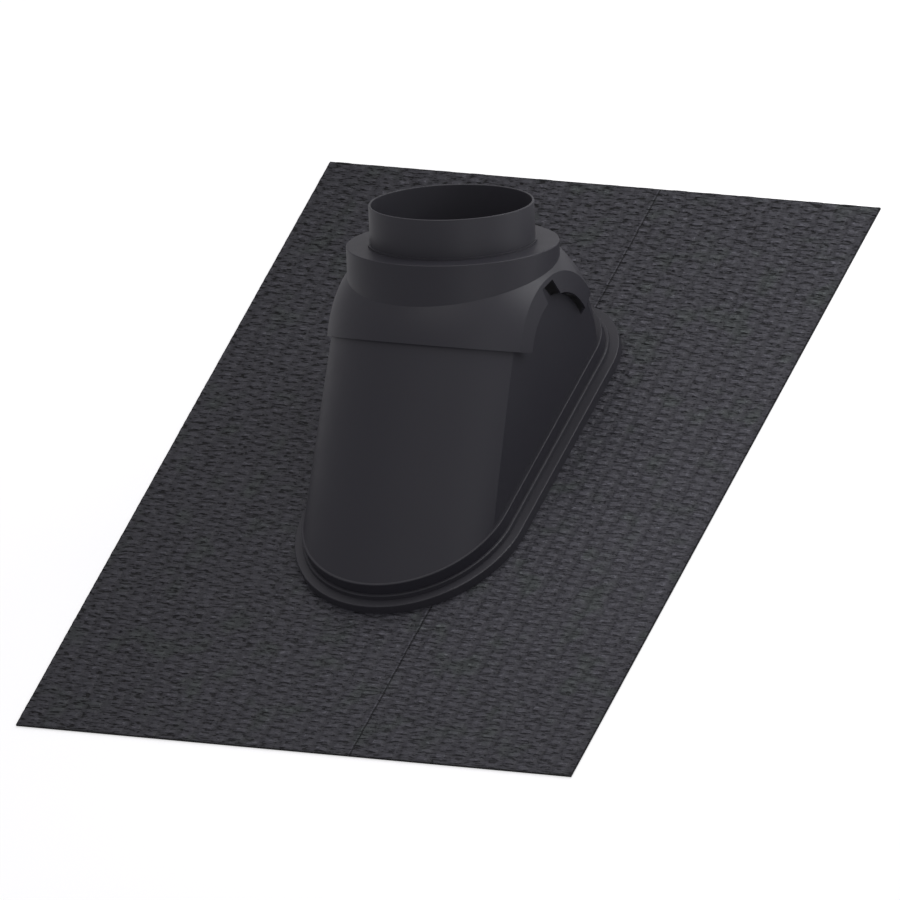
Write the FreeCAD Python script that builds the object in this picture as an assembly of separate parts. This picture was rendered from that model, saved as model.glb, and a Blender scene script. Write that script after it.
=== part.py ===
import FreeCAD, Part
import math
import os
from FreeCAD import Vector

# Roof penetration fitting: a crimped flexible apron, a moulded base bonded to it under a stepped
# frame, and a hood with a pipe sleeve that swivels on the base to suit the pitch of the roof.
# The apron lies flat on Z = 0. X runs across the roof, +Y up its slope and +Z away from it.

# Apron
apron_width = 500.0
apron_length = 637.0
apron_thickness = 2.0
crimp_row_pitch = 8.6
crimp_depth = 0.8
crimp_crest_share = 0.35
crimp_end_gap = 0.3

# Bonding strip between the apron and the base's flange
bond_thickness = 1.0
bond_inset = 3.5
bond_width = 5.5

# Stepped frame, and the outline that it shares with the plinth
frame_half_width = 97.9
front_centre_y = -67.5
rear_corner_radius = 62.0
rear_edge_y = 180.0
frame_wall_height = 7.2
tread_width = 7.4
riser_height = 4.3
ledge_width = 2.35
frame_lip_width = 2.3
frame_edge_radius = 0.8

# Base
plinth_gap = 0.15
plinth_height = 21.5
plinth_wall = 2.5
plinth_edge_radius = 0.8
flange_thickness = 2.0
flange_gap = 0.2
foot_ledge = 2.0
side_step = 1.6
side_draft = 1.6
rear_step = 1.5
body_wall = 2.2
front_wall_run = 3.6
dome_gap = 1.2

# Swivel axis, which runs through the centre of the base's round dome and of the hood
swivel_y = 74.0
swivel_height = 59.1

# Pipe opening in the dome, with angles about the swivel axis from +Y
opening_side = 17.4
opening_rear_angle = 5.5
opening_front_angle = 106.0
opening_corner_radius = 12.0

# Guide slots in the base's side walls, each ended in front by a slanted face
slot_inner_radius = 48.0
slot_outer_radius = 62.0
slot_rear_angle = -4.0
slot_front_angle = 90.0
slot_end_angle = 14.8
slot_end_offset = 33.0

# Hood shell: part of a ball, cut flat at the sides, where its cheeks flare out
hood_wall = 2.0
cheek_gap = 0.2
crease_radius = 66.5
cheek_edge_radius = 49.5
cheek_flare = 2.4
hood_rear_angle = 3.0
hem_angle = 134.0

# Window in each cheek of the hood
window_front_angle = 81.0
window_apex_angle = 65.0
window_rear_angle = 57.0
window_top_radius = 63.0
window_rear_radius = 50.5

# Neck of the hood, which leans back to the pipe's angle
pipe_lean = 32.5
neck_offset = 11.3
neck_radius = 84.25
neck_rise = 16.95
neck_root_height = 10.0
neck_edge_radius = 0.8

# Pipe sleeve
sleeve_bore_radius = 63.7
sleeve_wall = 1.8
sleeve_stand = 32.6
sleeve_depth = 12.0
sleeve_gap = 0.15
sleeve_rim_radius = 0.6
bead_width = 1.4
bead_height = 1.6
ridge_width = 1.1
ridge_height = 1.8

# Hooks that hold the hood in the guide slots
hook_rear_angle = 24.0
hook_front_angle = 30.0
hook_slot_gap = 2.0
hook_catch = 4.0
hook_head_thickness = 2.0
hook_gap = 0.5
hook_root = 0.4

# How finely the curved faces are drawn, how far cutters reach past a face, and how near is the same
loft_steps = 16
overrun = 5.0
same_length = 0.01
full_turn = 360.0

# Derived places
apron_land = apron_thickness - crimp_depth
flange_bottom = apron_land + bond_thickness
flange_top = flange_bottom + flange_thickness
flange_inset = frame_lip_width + flange_gap
frame_top = apron_thickness + frame_wall_height
ledge_top = frame_top + riser_height
frame_band = tread_width + ledge_width
plinth_inset = frame_band + plinth_gap
plinth_top = apron_thickness + plinth_height
cavity_inset = plinth_inset + plinth_wall
foot_radius = frame_half_width - plinth_inset - foot_ledge
body_side = foot_radius - side_step
hood_side = body_side + cheek_gap + hood_wall
hood_radius = math.hypot(hood_side, crease_radius)
neck_height = math.sqrt(hood_radius ** 2 - neck_radius ** 2) + neck_rise
dome_radius = hood_radius - hood_wall - dome_gap
opening_half_width = body_side - opening_side
swivel = Vector(0, swivel_y, apron_thickness + swivel_height)
across = Vector(1, 0, 0)
lean = math.radians(pipe_lean)
pipe_up = Vector(0, math.sin(lean), math.cos(lean))
pipe_forward = Vector(0, -pipe_up.z, pipe_up.y)
pipe_start = swivel + pipe_forward * neck_offset
sleeve_radius = sleeve_bore_radius + sleeve_wall
sleeve_middle = sleeve_bore_radius + 0.5 * sleeve_wall


def outline_face(inset, height):
    """Flat face of the shared outline, drawn in by inset: a semicircle in front, two corners behind."""
    half = frame_half_width - inset
    corner = rear_corner_radius - inset
    corner_x = frame_half_width - rear_corner_radius
    corner_y = rear_edge_y - rear_corner_radius
    diagonal = corner * math.sqrt(0.5)
    front = Vector(0, front_centre_y - half, height)
    front_right = Vector(half, front_centre_y, height)
    front_left = Vector(-half, front_centre_y, height)
    side_right = Vector(half, corner_y, height)
    side_left = Vector(-half, corner_y, height)
    turn_right = Vector(corner_x + diagonal, corner_y + diagonal, height)
    turn_left = Vector(-corner_x - diagonal, corner_y + diagonal, height)
    rear_right = Vector(corner_x, corner_y + corner, height)
    rear_left = Vector(-corner_x, corner_y + corner, height)
    curves = [
        Part.Arc(front_left, front, front_right),
        Part.LineSegment(front_right, side_right),
        Part.Arc(side_right, turn_right, rear_right),
        Part.LineSegment(rear_right, rear_left),
        Part.Arc(rear_left, turn_left, side_left),
        Part.LineSegment(side_left, front_left),
    ]
    return Part.Face(Part.Wire([curve.toShape() for curve in curves]))


def outline_block(inset, bottom, top, edge_radius=0.0):
    """Solid of the shared outline between two heights, with its top edge rounded if asked."""
    block = outline_face(inset, bottom).extrude(Vector(0, 0, top - bottom))
    if edge_radius > 0:
        rim = [edge for edge in block.Edges if edge.BoundBox.ZMin > 0.5 * (bottom + top)]
        block = block.makeFillet(edge_radius, rim)
    return block


def at(x, radius, angle):
    """Point at x, at a radius and an angle in degrees about the swivel axis."""
    turn = math.radians(angle)
    return Vector(x, swivel.y + radius * math.cos(turn), swivel.z + radius * math.sin(turn))


def swept(face, start, end):
    """Solid of a face, drawn at angle 0, that turns about the swivel axis from start to end."""
    turned = face.copy()
    turned.rotate(swivel, across, start)
    return turned.revolve(swivel, across, end - start)


def sector(x_low, x_high, inner, outer, start, end):
    """Block between two radii and two angles about the swivel axis."""
    corners = [at(x_low, inner, 0), at(x_high, inner, 0), at(x_high, outer, 0), at(x_low, outer, 0)]
    return swept(Part.Face(Part.makePolygon(corners + corners[:1])), start, end)


def body_section(x, foot, dome, floor):
    """Section of the body across X: slanted front wall, arc of the dome and upright rear to the floor."""
    radius = math.sqrt(dome ** 2 - x ** 2)
    toe = Vector(x, front_centre_y - math.sqrt(foot ** 2 - x ** 2), plinth_top)
    run = toe - swivel
    toe_angle = math.degrees(math.atan2(run.z, run.y)) % full_turn
    front_angle = toe_angle - math.degrees(math.acos(radius / math.hypot(run.y, run.z)))
    rear_angle = -math.degrees(math.asin((swivel.z - plinth_top) / radius))
    front = at(x, radius, front_angle)
    crown = at(x, radius, 0.5 * (front_angle + rear_angle))
    rear = at(x, radius, rear_angle)
    toe_low = Vector(x, toe.y, floor)
    rear_low = Vector(x, rear.y, floor)
    curves = [
        Part.LineSegment(toe_low, toe),
        Part.LineSegment(toe, front),
        Part.Arc(front, crown, rear),
        Part.LineSegment(rear, rear_low),
        Part.LineSegment(rear_low, toe_low),
    ]
    return Part.Wire([curve.toShape() for curve in curves])


def side_at(height):
    """Half-width of the body at a height: its side walls lean in by the mould's draft."""
    return body_side - (height - plinth_top) * math.tan(math.radians(side_draft))


def body_block(thinner, run, floor):
    """Solid of the body drawn in by a wall: lofted sections, drafted side walls and an upright rear."""
    half = body_side - thinner
    foot = foot_radius - run
    dome = dome_radius - thinner
    turns = [math.pi * (step / loft_steps - 0.5) for step in range(loft_steps + 1)]
    block = Part.makeLoft([body_section(half * math.sin(t), foot, dome, floor) for t in turns], True)
    crown = swivel.z + dome_radius + overrun
    low = side_at(floor) - thinner
    high = side_at(crown) - thinner
    corners = [Vector(-low, -apron_length, floor), Vector(low, -apron_length, floor)]
    corners += [Vector(high, -apron_length, crown), Vector(-high, -apron_length, crown)]
    drafted = Part.Face(Part.makePolygon(corners + corners[:1])).extrude(Vector(0, 2 * apron_length, 0))
    upright = outline_block(plinth_inset + rear_step + thinner, floor, crown)
    return block.common(drafted).common(upright)


def hood_curve(inward):
    """Arc of the hood's ball between its two creases, drawn in by inward, at angle 0."""
    half = hood_side - inward
    radius = hood_radius - inward
    crease = math.sqrt(radius ** 2 - half ** 2)
    left = at(-half, crease, 0)
    right = at(half, crease, 0)
    return Part.Arc(left, at(0, radius, 0), right).toShape(), left, right


def cheek_edge(side, inward):
    """Lower edge point of a cheek at angle 0, on its outer face or drawn in from it."""
    return at(side * (hood_side + cheek_flare - inward), cheek_edge_radius, 0)


def hood_profile():
    """Closed section of the hood's shell: arc, flared cheeks and their edges."""
    outer, outer_left, outer_right = hood_curve(0)
    inner, inner_left, inner_right = hood_curve(hood_wall)
    right_side = Part.makePolygon([outer_right, cheek_edge(1, 0), cheek_edge(1, hood_wall), inner_right])
    left_side = Part.makePolygon([outer_left, cheek_edge(-1, 0), cheek_edge(-1, hood_wall), inner_left])
    return Part.Face(Part.Wire(Part.sortEdges([outer, inner] + right_side.Edges + left_side.Edges)[0]))


def hood_core():
    """Space under the hood's shell, as a full turn about the swivel axis."""
    inner, left, right = hood_curve(hood_wall)
    edge_in = hood_side + cheek_flare - hood_wall
    corners = [right, cheek_edge(1, hood_wall), at(edge_in, overrun, 0)]
    corners += [at(-edge_in, overrun, 0), cheek_edge(-1, hood_wall), left]
    wire = Part.Wire(Part.sortEdges([inner] + Part.makePolygon(corners).Edges)[0])
    return swept(Part.Face(wire), 0, full_turn)


def pipe_cylinder(radius, low, high):
    """Cylinder on the pipe's axis between two heights along it."""
    return Part.makeCylinder(radius, high - low, pipe_start + pipe_up * low, pipe_up)


def pipe_ring(outer, inner, low, high):
    """Ring on the pipe's axis."""
    return pipe_cylinder(outer, low, high).cut(pipe_cylinder(inner, low - overrun, high + overrun))


def slot_end_block():
    """Block in front of the slanted face that ends the guide slots."""
    size = apron_width
    block = Part.makeBox(size, size, size, Vector(-0.5 * size, -size, -0.5 * size))
    block.rotate(Vector(0, 0, 0), across, slot_end_angle)
    turn = math.radians(slot_end_angle)
    block.translate(swivel + Vector(0, math.cos(turn), math.sin(turn)) * slot_end_offset)
    return block


def window_block(side):
    """Cutter for the window in one cheek, from its lower edge up to a slanted top."""
    below = cheek_edge_radius - overrun
    spots = [
        (below, window_front_angle),
        (window_top_radius, window_front_angle),
        (window_top_radius, window_apex_angle),
        (window_rear_radius, window_rear_angle),
        (below, window_rear_angle),
    ]
    near = side * (hood_side - 2 * overrun)
    corners = [at(near, radius, angle) for radius, angle in spots]
    face = Part.Face(Part.makePolygon(corners + corners[:1]))
    return face.extrude(across * (side * 4 * overrun))


def make_apron():
    """Crimped sheet: rows of ridges along X, pressed flat under the frame, with the base's cut-out."""
    rows = int(apron_length / crimp_row_pitch)
    pitch = apron_length / rows
    crest = pitch * crimp_crest_share
    slope = 0.5 * (pitch - crest)
    low = -0.5 * apron_length
    x = -0.5 * apron_width
    points = [Vector(x, low, 0), Vector(x, low, apron_land)]
    for row in range(rows):
        start = low + row * pitch
        points.append(Vector(x, start + slope, apron_thickness))
        points.append(Vector(x, start + slope + crest, apron_thickness))
        points.append(Vector(x, start + pitch, apron_land))
    points.append(Vector(x, -low, 0))
    sheet = Part.Face(Part.makePolygon(points + points[:1])).extrude(across * apron_width)
    seat = outline_block(-crimp_end_gap, apron_land, apron_thickness + overrun)
    return sheet.cut(seat).cut(outline_block(cavity_inset, -overrun, apron_thickness + overrun))


def make_bonding_strip():
    """Flat sealing strip under the base's flange."""
    strip = outline_block(bond_inset, apron_land, flange_bottom)
    return strip.cut(outline_block(bond_inset + bond_width, apron_land - overrun, flange_bottom + overrun))


def make_frame():
    """Stepped frame over the flange: outer wall, tread, riser and ledge, hollow below."""
    lower = outline_block(0, apron_land, frame_top, frame_edge_radius)
    upper = outline_block(tread_width, apron_land, ledge_top, frame_edge_radius)
    frame = lower.fuse(upper)
    frame = frame.cut(outline_block(frame_band, -overrun, ledge_top + overrun))
    return frame.cut(outline_block(frame_lip_width, -overrun, flange_top))


def make_base():
    """Base shell: flange, plinth, slanted front wall and dome, with the pipe opening and guide slots."""
    plinth_ceiling = plinth_top - body_wall
    base = outline_block(flange_inset, flange_bottom, flange_top)
    base = base.fuse(outline_block(plinth_inset, flange_bottom, plinth_top, plinth_edge_radius))
    base = base.fuse(body_block(0, 0, plinth_ceiling))
    base = base.cut(outline_block(cavity_inset, -overrun, plinth_ceiling))
    base = base.cut(body_block(body_wall, front_wall_run, plinth_ceiling - overrun))
    reach = dome_radius + overrun
    width = opening_half_width
    opening = sector(-width, width, crease_radius, reach, opening_rear_angle, opening_front_angle)
    corners = [edge for edge in opening.Edges if is_radial(edge, reach - crease_radius)]
    base = base.cut(opening.makeFillet(opening_corner_radius, corners))
    inside = side_at(swivel.z + slot_outer_radius) - body_wall - overrun
    for side in (-1, 1):
        low, high = sorted((side * inside, side * foot_radius))
        slot = sector(low, high, slot_inner_radius, slot_outer_radius, slot_rear_angle, slot_front_angle)
        base = base.cut(slot.cut(slot_end_block()))
    return base


def is_radial(edge, length):
    """True for a straight edge of the given length that lies in a plane across X."""
    straight = isinstance(edge.Curve, Part.Line)
    return straight and edge.BoundBox.XLength < same_length and abs(edge.Length - length) < same_length


def make_hook(side):
    """Hook on one cheek: a stem through the guide slot and a head behind the wall below the slot."""
    wall_face = side_at(swivel.z + slot_outer_radius) - body_wall - hook_gap
    head_face = wall_face - hook_head_thickness
    stem_x = sorted((side * head_face, side * (hood_side + hook_root)))
    head_x = sorted((side * head_face, side * wall_face))
    angles = (hook_rear_angle, hook_front_angle)
    bottom = slot_inner_radius + hook_slot_gap
    top = slot_outer_radius - hook_slot_gap
    stem = sector(stem_x[0], stem_x[1], bottom, top, *angles)
    head = sector(head_x[0], head_x[1], slot_inner_radius - hook_catch, top, *angles)
    return stem.fuse(head)


def make_hood():
    """Hood: swept shell with flared cheeks, leaning neck with its top plate, windows and hooks."""
    shell = swept(hood_profile(), hood_rear_angle, hem_angle)
    shell = shell.cut(pipe_cylinder(2 * neck_radius, neck_height, 2 * neck_height))
    neck = pipe_cylinder(neck_radius, neck_root_height, neck_height)
    top_edge = [edge for edge in neck.Edges if is_neck_rim(edge)]
    neck = neck.makeFillet(neck_edge_radius, top_edge)
    neck = neck.cut(hood_core())
    passage = pipe_cylinder(neck_radius - hood_wall, neck_root_height, neck_height - hood_wall)
    hood = shell.fuse(neck).cut(passage)
    hood = hood.cut(pipe_cylinder(sleeve_radius + sleeve_gap, neck_root_height, 2 * neck_height))
    for side in (-1, 1):
        hood = hood.cut(window_block(side)).fuse(make_hook(side))
    return hood


def is_neck_rim(edge):
    """True for the outer edge of the neck's top plate."""
    centre = pipe_start + pipe_up * neck_height
    return isinstance(edge.Curve, Part.Circle) and (edge.Curve.Center - centre).Length < same_length


def make_sleeve():
    """Pipe sleeve with a bead that rests on the neck's top plate and a snap ridge below it."""
    top = neck_height + sleeve_stand
    sleeve = pipe_ring(sleeve_radius, sleeve_bore_radius, neck_height - sleeve_depth, top)
    rim = [edge for edge in sleeve.Edges if is_sleeve_rim(edge, top)]
    sleeve = sleeve.makeFillet(sleeve_rim_radius, rim)
    bead = pipe_ring(sleeve_radius + bead_width, sleeve_middle, neck_height, neck_height + bead_height)
    plate_bottom = neck_height - hood_wall
    ridge = pipe_ring(sleeve_radius + ridge_width, sleeve_middle, plate_bottom - ridge_height, plate_bottom)
    return sleeve.fuse(bead).fuse(ridge)


def is_sleeve_rim(edge, top):
    """True for the circles at the sleeve's upper end."""
    centre = pipe_start + pipe_up * top
    return isinstance(edge.Curve, Part.Circle) and (edge.Curve.Center - centre).Length < same_length


makers = {
    "apron": make_apron,
    "bonding_strip": make_bonding_strip,
    "stepped_frame": make_frame,
    "base_body": make_base,
    "hood": make_hood,
    "pipe_sleeve": make_sleeve,
}
os.makedirs("parts", exist_ok=True)
for name, maker in makers.items():
    shape = maker().removeSplitter()
    print(name, len(shape.Solids), "solid", shape.isValid(), round(shape.Volume / 1000.0, 2), "cm3")
    shape.exportStep("parts/" + name + ".step")
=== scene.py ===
import math

import bmesh
import bpy
from mathutils import Matrix, Vector, noise


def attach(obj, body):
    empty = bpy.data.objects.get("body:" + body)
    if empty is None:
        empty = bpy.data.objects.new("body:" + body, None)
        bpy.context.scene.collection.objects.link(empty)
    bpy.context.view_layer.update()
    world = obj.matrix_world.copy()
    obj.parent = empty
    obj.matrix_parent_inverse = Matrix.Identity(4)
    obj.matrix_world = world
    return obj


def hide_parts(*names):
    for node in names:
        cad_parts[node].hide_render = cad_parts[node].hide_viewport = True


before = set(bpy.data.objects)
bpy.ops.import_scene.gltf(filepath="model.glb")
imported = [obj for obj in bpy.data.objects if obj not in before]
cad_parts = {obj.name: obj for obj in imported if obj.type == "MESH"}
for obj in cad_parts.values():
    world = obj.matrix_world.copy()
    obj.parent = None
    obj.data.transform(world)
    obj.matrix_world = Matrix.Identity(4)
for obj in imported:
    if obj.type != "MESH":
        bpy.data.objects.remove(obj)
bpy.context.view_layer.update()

# Camera: a very long lens looks down on the fitting from the front right, with the roof's own
# upright leaning to the left in the picture. The picture is 0.71 m wide at the fitting.
view_azimuth = math.radians(-51.32)
view_height = math.radians(40.12)
view_roll = math.radians(-22.28)
view_width = 0.7091
look_at = Vector((0.0215, -0.0184, 0.0393))
eye = bpy.data.cameras.new("long_lens")
eye.lens = 1500.0
eye.sensor_width = 36.0
eye.clip_start = 1.0
eye.clip_end = 60.0
camera = bpy.data.objects.new("long_lens", eye)
bpy.context.collection.objects.link(camera)
heading = Matrix.Rotation(view_azimuth + math.pi / 2, 4, "Z")
tilt = Matrix.Rotation(math.pi / 2 - view_height, 4, "X")
turn = heading @ tilt @ Matrix.Rotation(view_roll, 4, "Z")
away = turn.to_3x3() @ Vector((0, 0, view_width * eye.lens / eye.sensor_width))
camera.matrix_world = Matrix.Translation(look_at + away) @ turn
bpy.context.scene.camera = camera
bpy.context.scene.view_settings.view_transform = "Standard"


# Floor: pale matt studio paper, a hair below the apron's underside. It is seen as white round the
# apron and keeps the fitting's shadow. Under the apron, where openings show it, it has no glow.
class Level:
    """A shader socket that takes part in Python's sums, each of which adds a Math node."""

    def __init__(self, finish, socket):
        self.finish = finish
        self.socket = socket

    def __add__(self, other):
        return self.finish.sum("ADD", self, other)

    def __radd__(self, other):
        return self.finish.sum("ADD", other, self)

    def __sub__(self, other):
        return self.finish.sum("SUBTRACT", self, other)

    def __rsub__(self, other):
        return self.finish.sum("SUBTRACT", other, self)

    def __mul__(self, other):
        return self.finish.sum("MULTIPLY", self, other)

    def __rmul__(self, other):
        return self.finish.sum("MULTIPLY", other, self)


class Finish:
    """A material being made."""

    def __init__(self, name):
        self.material = bpy.data.materials.new(name)
        self.material.use_nodes = True
        self.tree = self.material.node_tree
        self.shader = self.tree.nodes["Principled BSDF"]
        self.surface = self.tree.nodes["Material Output"].inputs["Surface"]

    def node(self, kind, settings, sockets, output=0):
        """Adds a node, sets it, feeds its sockets and returns one of its outputs."""
        made = self.tree.nodes.new(kind)
        for key, value in settings.items():
            setattr(made, key, value)
        for key, value in sockets.items():
            self.feed(made.inputs[key], value)
        return Level(self, made.outputs[output])

    def feed(self, socket, value):
        """Links a level to a socket, or sets the socket to a plain value."""
        if isinstance(value, Level):
            self.tree.links.new(value.socket, socket)
        else:
            socket.default_value = value

    def set(self, **values):
        """Feeds the shader's own sockets, named with underscores for spaces."""
        for key, value in values.items():
            self.feed(self.shader.inputs[key.replace("_", " ")], value)

    def sum(self, operation, *values):
        """One Math node on one or two values."""
        return self.node("ShaderNodeMath", {"operation": operation}, dict(enumerate(values)))

    def size(self, value):
        """A number without its sign."""
        return self.sum("ABSOLUTE", value)

    def place(self):
        """Object coordinates in metres."""
        return self.node("ShaderNodeTexCoord", {}, {}, "Object")

    def axis(self, vector, letter):
        """One coordinate of a vector."""
        return self.node("ShaderNodeSeparateXYZ", {}, {0: vector}, letter)

    def mix(self, share, first, second):
        """Colour between two colours."""
        return self.node("ShaderNodeMix", {"data_type": "RGBA"}, {0: share, 6: first, 7: second}, 2)

    def ease(self, value, low, high):
        """A smooth step from 0 at the low value to 1 at the high one."""
        return self.node("ShaderNodeMapRange", {"interpolation_type": "SMOOTHSTEP"},
                         {"Value": value, "From Min": low, "From Max": high})

    def grain(self, scale, detail, stretch=(1.0, 1.0, 1.0)):
        """Noise of a given scale per metre on the object's coordinates."""
        spot = self.node("ShaderNodeMapping", {}, {"Vector": self.place(), "Scale": stretch})
        return self.node("ShaderNodeTexNoise", {}, {"Vector": spot, "Scale": scale, "Detail": detail}, "Fac")


floor_half = 40.0
floor_drop = 0.0005
glow_strength = 0.56
cover_side = (0.18, 0.20)
cover_end = (0.25, 0.27)
floor_mesh = bmesh.new()
bmesh.ops.create_grid(floor_mesh, x_segments=1, y_segments=1, size=floor_half)
floor_data = bpy.data.meshes.new("floor")
floor_mesh.to_mesh(floor_data)
floor_mesh.free()
floor = bpy.data.objects.new("floor", floor_data)
bpy.context.collection.objects.link(floor)
floor.location = (0, 0, -floor_drop)
paper = Finish("floor_paper")
paper.set(Base_Color=(0.78, 0.78, 0.79, 1), Roughness=0.9, Specular_IOR_Level=0.0)
matt = Level(paper, paper.shader.outputs[0])
seen = paper.node("ShaderNodeLightPath", {}, {}, "Is Camera Ray")
beside = paper.size(paper.axis(paper.place(), "X"))
beyond = paper.size(paper.axis(paper.place(), "Y"))
uncovered = paper.sum("MAXIMUM", paper.ease(beside, *cover_side), paper.ease(beyond, *cover_end))
glow = paper.node("ShaderNodeEmission", {}, {"Color": (1, 1, 1, 1), "Strength": glow_strength})
both = paper.node("ShaderNodeAddShader", {}, {0: matt, 1: glow})
lit = paper.node("ShaderNodeMixShader", {}, {0: seen * uncovered, 1: matt, 2: both})
paper.feed(paper.surface, lit)
floor_data.materials.append(paper.material)

# Studio light: an even pale surround, broad soft panels overhead, behind and to the front right,
# and a small one close by at the rear right, which falls off across the apron.
world = bpy.data.worlds.new("studio")
bpy.context.scene.world = world
world.use_nodes = True
sky = world.node_tree.nodes["Background"]
sky.inputs["Color"].default_value = (0.96, 0.945, 1.0, 1)
sky.inputs["Strength"].default_value = 0.32
panel_aim = Vector((0, 0, 0.1))
far_off = 2.4
close_by = 0.87
broad = (1.6, 1.6)
small = (0.5, 0.5)
cool = (0.97, 0.98, 1.0)
warm = (1.0, 0.99, 0.98)


def panel(name, toward, distance, size, power, colour):
    """Soft panel that faces the fitting from a direction."""
    data = bpy.data.lights.new(name, "AREA")
    data.shape = "RECTANGLE"
    data.size, data.size_y = size
    data.energy = power
    data.color = colour
    made = bpy.data.objects.new(name, data)
    bpy.context.collection.objects.link(made)
    way = Vector(toward).normalized()
    made.location = panel_aim + way * distance
    made.rotation_mode = "QUATERNION"
    made.rotation_quaternion = way.to_track_quat("Z", "Y")


panel("panel_right", (0.9, -0.55, 0.45), far_off, broad, power=3.9, colour=cool)
panel("panel_over", (0, 0, 1), far_off, broad, power=5.8, colour=warm)
panel("panel_back", (0, 0.6, 1), far_off, broad, power=12.5, colour=warm)
panel("panel_near", (0.55, 0.6, 0.3), close_by, small, power=2.15, colour=cool)

# Apron: one flexible sheet about 2 mm thick, embossed with staggered rows of small pads so that it
# can be dressed to the tiles. It is cut out under the base, and its pads are pressed flat under the
# frame and lower along the outer edges.
apron_half = (0.2492, 0.3177)
apron_grid = (196, 440)
apron_land = 0.0012
apron_crest = 0.002
cell = (0.01525, 0.0086)
frame_half = 0.0979
front_centre = -0.0675
rear_corner = 0.062
rear_edge = 0.18
cut_inset = 0.0124
press_clear = 0.0003
press_fade = 0.0025
border_fade = 0.008
wander_along, wander_across = 0.14, 0.07
waves_along, waves_across = 60, 26
pad_low, pad_spread = 0.62, 0.38
pad_round_across, pad_round_along = 5, 3.5
sharp_edge = math.radians(50)


def ring_distance(x, y):
    """How far a point lies outside the frame's outline, negative inside."""
    if y < front_centre:
        return math.hypot(x, y - front_centre) - frame_half
    corner_x, corner_y = frame_half - rear_corner, rear_edge - rear_corner
    if abs(x) > corner_x and y > corner_y:
        return math.hypot(abs(x) - corner_x, y - corner_y) - rear_corner
    return max(abs(x) - frame_half, y - rear_edge)


def pad_place(x, y):
    """Place in the embossing, counted in pads along and across, with the die's slight wander."""
    along = y / cell[1] + wander_along * noise.noise(Vector((x * waves_along, y * waves_along, 5)))
    across = x / cell[0] + wander_across * noise.noise(Vector((x * waves_across, y * waves_across, 0)))
    return along, across


def pad_height(along, across):
    """Height of the embossing, from 0 in the channels to 1 on a pad. Even columns are half a pad on."""
    column = math.floor(across)
    along += 0.5 * ((column + 1) % 2)
    row = math.floor(along)
    u = 2 * abs(across - column - 0.5)
    v = 2 * abs(along - row - 0.5)
    lift = pad_low + pad_spread * noise.cell(Vector((column * 1.7 + 0.5, row * 1.3 + 0.5, 0.5)))
    return lift * max(0.0, 1 - u ** pad_round_across) * max(0.0, 1 - v ** pad_round_along)


sheet = bmesh.new()
bmesh.ops.create_grid(sheet, x_segments=apron_grid[0], y_segments=apron_grid[1], size=1.0)
for vert in sheet.verts:
    vert.co.x *= apron_half[0]
    vert.co.y *= apron_half[1]
inside = [face for face in sheet.faces
          if all(ring_distance(v.co.x, v.co.y) < -cut_inset for v in face.verts)]
bmesh.ops.delete(sheet, geom=inside, context="FACES")
for vert in sheet.verts:
    clear = ring_distance(vert.co.x, vert.co.y)
    margin = min(apron_half[0] - abs(vert.co.x), apron_half[1] - abs(vert.co.y))
    press = min(1.0, max(0.0, (clear - press_clear) / press_fade), 0.5 + margin / border_fade)
    lift = pad_height(*pad_place(vert.co.x, vert.co.y)) * press
    vert.co.z = apron_land + (apron_crest - apron_land) * lift
pads = sheet.loops.layers.uv.new("pads")
for face in sheet.faces:
    for loop in face.loops:
        loop[pads].uv = pad_place(loop.vert.co.x, loop.vert.co.y)
rim = [edge for edge in sheet.edges if edge.is_boundary]
wall = bmesh.ops.extrude_edge_only(sheet, edges=rim)["geom"]
for vert in (item for item in wall if isinstance(item, bmesh.types.BMVert)):
    vert.co.z = 0.0
under = [item for item in wall if isinstance(item, bmesh.types.BMEdge)]
bmesh.ops.triangle_fill(sheet, use_beauty=True, edges=under)
bmesh.ops.recalc_face_normals(sheet, faces=sheet.faces)
for face in sheet.faces:
    face.smooth = True
for edge in sheet.edges:
    if edge.calc_face_angle(0.0) > sharp_edge:
        edge.smooth = False
apron_data = bpy.data.meshes.new("apron_sheet")
sheet.to_mesh(apron_data)
sheet.free()
apron = bpy.data.objects.new("apron_sheet", apron_data)
bpy.context.collection.objects.link(apron)
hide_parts("apron")
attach(apron, "base")

# The crease down the sheet is only in the material. It is a painted line of shade along it, which also dents
# the bump, with a painted highlight just beside it.
crease_x = 0.0515
ridge_highlight_x = crease_x - 0.0014
crease_edge = (0.0003, 0.0009)
hem_edge = (0.0002, 0.0012)
# Painted light: the apron's colour is painted lighter round this spot at the right front and darker with
# distance from it.
painted_light_spot = (0.2, -0.08, 0)
# Near-black colour that the apron's tone is mixed towards. Through it the painted shade and the painted
# light fall-off darken the sheet.
painted_shade_colour = (0.002, 0.002, 0.003, 1)
relief_depth = 0.0013
rubber = Finish("apron_rubber")
die = rubber.node("ShaderNodeUVMap", {"uv_map": "pads"}, {})
across = rubber.axis(die, "Y")
column = rubber.sum("FLOOR", across)
along = rubber.axis(die, "X") + 0.5 - 0.5 * rubber.sum("FLOORED_MODULO", column, 2.0)
row = rubber.sum("FLOOR", along)
flank = rubber.size(across - column - 0.5)
seam = rubber.size(along - row - 0.5)
number = rubber.node("ShaderNodeCombineXYZ", {}, {0: row, 1: column})
luck = rubber.node("ShaderNodeTexWhiteNoise", {}, {"Vector": number}, "Value")
streak = rubber.grain(600.0, 1.0, (0.26, 1.0, 1.0))
flat = (1 - rubber.ease(flank, 0.20, 0.38)) * (1 - rubber.ease(seam, 0.14, 0.34))
# Dark dashes along the seams between pad rows are painted shade under the pads' edges. They also dent the
# bump, and are painted darker further from the painted light spot.
nick_shade_end = 1 - 0.6 * rubber.ease(flank, 0.36, 0.5)
nick_and_seam_shade = (1 - rubber.ease(streak, 0.38, 0.46)) * rubber.ease(seam, 0.10, 0.26) * nick_shade_end
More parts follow.
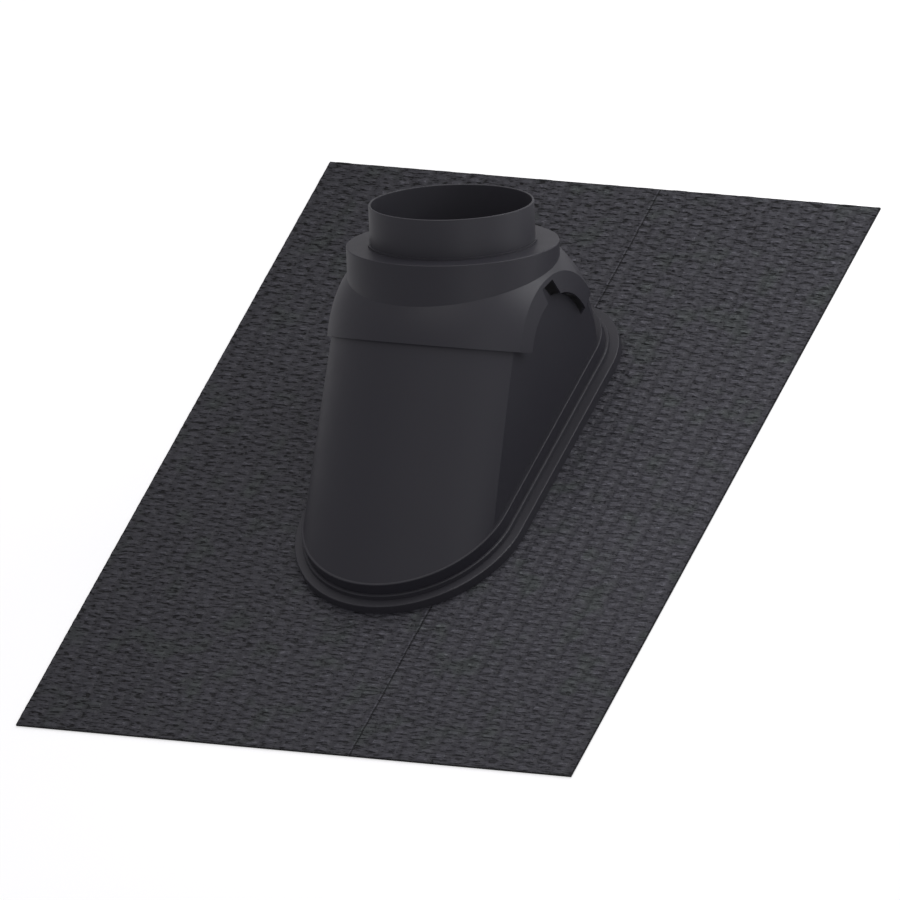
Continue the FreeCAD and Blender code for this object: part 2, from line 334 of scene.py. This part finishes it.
# The glints are painted highlights: bright streaks on the pads, which also raise the bump.
glint = rubber.ease(streak, 0.54, 0.64) * (0.35 + 0.65 * flat)
spot = rubber.place()
spot_x = rubber.axis(spot, "X")
spot_y = rubber.axis(spot, "Y")
border = rubber.sum("MINIMUM", apron_half[0] - rubber.size(spot_x), apron_half[1] - rubber.size(spot_y))
fold = 1 - rubber.ease(rubber.size(spot_x - crease_x), *crease_edge)
painted_ridge_highlight = 1 - rubber.ease(rubber.size(spot_x - ridge_highlight_x), *crease_edge)
painted_light_distance = rubber.node("ShaderNodeVectorMath", {"operation": "DISTANCE"}, {0: spot, 1: painted_light_spot}, "Value")
patch = rubber.ease(rubber.grain(30.0, 2.0), 0.52, 0.7)
tint = rubber.mix(patch, (0.145, 0.143, 0.168, 1), (0.137, 0.151, 0.153, 1))
# Pad tops painted lighter, by a random amount per pad, as a painted highlight. The pads' tone below also
# gets the painted glints, the crease's painted highlight, and pad flanks painted a little darker as painted
# shade.
pad_shine = 0.26 * flat * (0.4 + 0.6 * luck)
pad_tone_and_painted_light = 0.46 + pad_shine + 0.44 * glint + 0.2 * painted_ridge_highlight - 0.05 * rubber.ease(flank, 0.3, 0.5)
painted_seam_shade = 1 - nick_and_seam_shade * (0.25 + 1.7 * painted_light_distance)
# Painted shade along the crease.
painted_crease_shade = 1 - 0.7 * fold
# Painted light fall-off: the apron's colour darkens with distance from the painted light spot.
drift = 0.93 - 0.7 * painted_light_distance
# The apron's tone with its painted highlights, painted shade and painted light fall-off, and darker within
# about a millimetre of the outer edge.
shade = pad_tone_and_painted_light * painted_seam_shade * painted_crease_shade * drift * rubber.ease(border, *hem_edge)
relief = 0.5 * flat + 0.5 * glint - 0.9 * nick_and_seam_shade - fold + 2.5 * rubber.grain(8.0, 1.0)
rubber.set(Base_Color=rubber.mix(shade, painted_shade_colour, tint),
           Roughness=0.45 + 0.15 * streak, Specular_IOR_Level=0.32,
           Normal=rubber.node("ShaderNodeBump", {}, {"Strength": 1.0, "Distance": relief_depth,
                                                     "Height": relief}))
apron_data.materials.append(rubber.material)


# Mouldings: the base, the stepped frame, the hood and the sleeve are satin anthracite plastic with
# the faint even grain of a spark-eroded mould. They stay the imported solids.
def moulded(name, low, high, roughness):
    """Satin moulded plastic with a fine grain and a slow drift of tone."""
    plastic = Finish(name)
    tone = plastic.grain(14.0, 2.0)
    pores = plastic.grain(1400.0, 2.0)
    handling = plastic.grain(55.0, 4.0)
    plastic.set(Base_Color=plastic.mix(tone, low, high),
                Roughness=roughness + 0.08 * handling + 0.05 * pores,
                Normal=plastic.node("ShaderNodeBump", {}, {"Strength": 0.25, "Distance": 0.00008,
                                                           "Height": pores}))
    return plastic.material


def dress(node, material):
    """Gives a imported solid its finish."""
    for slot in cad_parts[node].material_slots:
        slot.material = material


hood_plastic = moulded("hood_plastic", (0.027, 0.026, 0.034, 1), (0.031, 0.030, 0.038, 1), 0.40)
dress("base_body", moulded("base_plastic", (0.025, 0.024, 0.032, 1), (0.029, 0.028, 0.036, 1), 0.42))
dress("stepped_frame", moulded("frame_plastic", (0.034, 0.033, 0.041, 1), (0.039, 0.038, 0.046, 1), 0.45))
dress("hood", hood_plastic)
dress("pipe_sleeve", moulded("sleeve_plastic", (0.033, 0.032, 0.040, 1), (0.037, 0.036, 0.044, 1), 0.40))

# Top plate: the flat ring round the sleeve, one moulding with the hood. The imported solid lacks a
# crescent of it behind the sleeve. This ring lies just inside the plate's thickness and closes the
# crescent, but for a step under 1 mm at its underside.
swivel = Vector((0, 0.074, 0.0611))
pipe_lean = math.radians(32.5)
neck_offset = 0.0113
plate_top = 0.0864
plate_wall = 0.002
plate_inset = 0.00005
hole_radius = 0.0657
lap_radius = 0.0765
plate_steps = 128
plate_high = plate_top - plate_inset
plate_low = plate_top - plate_wall + plate_inset
pipe_up = Vector((0, math.sin(pipe_lean), math.cos(pipe_lean)))
rearward = Vector((0, pipe_up.z, -pipe_up.y))
ring = bmesh.new()
corners = [ring.verts.new((radius, 0, height)) for radius, height in (
    (hole_radius, plate_low), (lap_radius, plate_low), (lap_radius, plate_high), (hole_radius, plate_high))]
outline = [ring.edges.new(pair) for pair in zip(corners, corners[1:] + corners[:1])]
bmesh.ops.spin(ring, geom=corners + outline, cent=(0, 0, 0), axis=(0, 0, 1), angle=2 * math.pi,
               steps=plate_steps, use_merge=True)
bmesh.ops.recalc_face_normals(ring, faces=ring.faces)
stand = Matrix((Vector((1, 0, 0)), rearward, pipe_up)).transposed().to_4x4()
ring.transform(Matrix.Translation(swivel - rearward * neck_offset) @ stand)
ring_data = bpy.data.meshes.new("top_plate")
ring.to_mesh(ring_data)
ring.free()
ring_data.materials.append(hood_plastic)
top_plate = bpy.data.objects.new("top_plate", ring_data)
bpy.context.collection.objects.link(top_plate)
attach(top_plate, "hood")

# Bonding strip: a flat black butyl ribbon, dull and slightly smeared, laid round the cut-out. It is
# pressed between the base's flange and the apron, and seals the one to the other.
butyl = Finish("butyl")
smear = butyl.grain(180.0, 3.0)
butyl.set(Base_Color=butyl.mix(smear, (0.008, 0.008, 0.008, 1), (0.014, 0.014, 0.014, 1)),
          Roughness=0.5 + 0.2 * smear)
dress("bonding_strip", butyl.material)
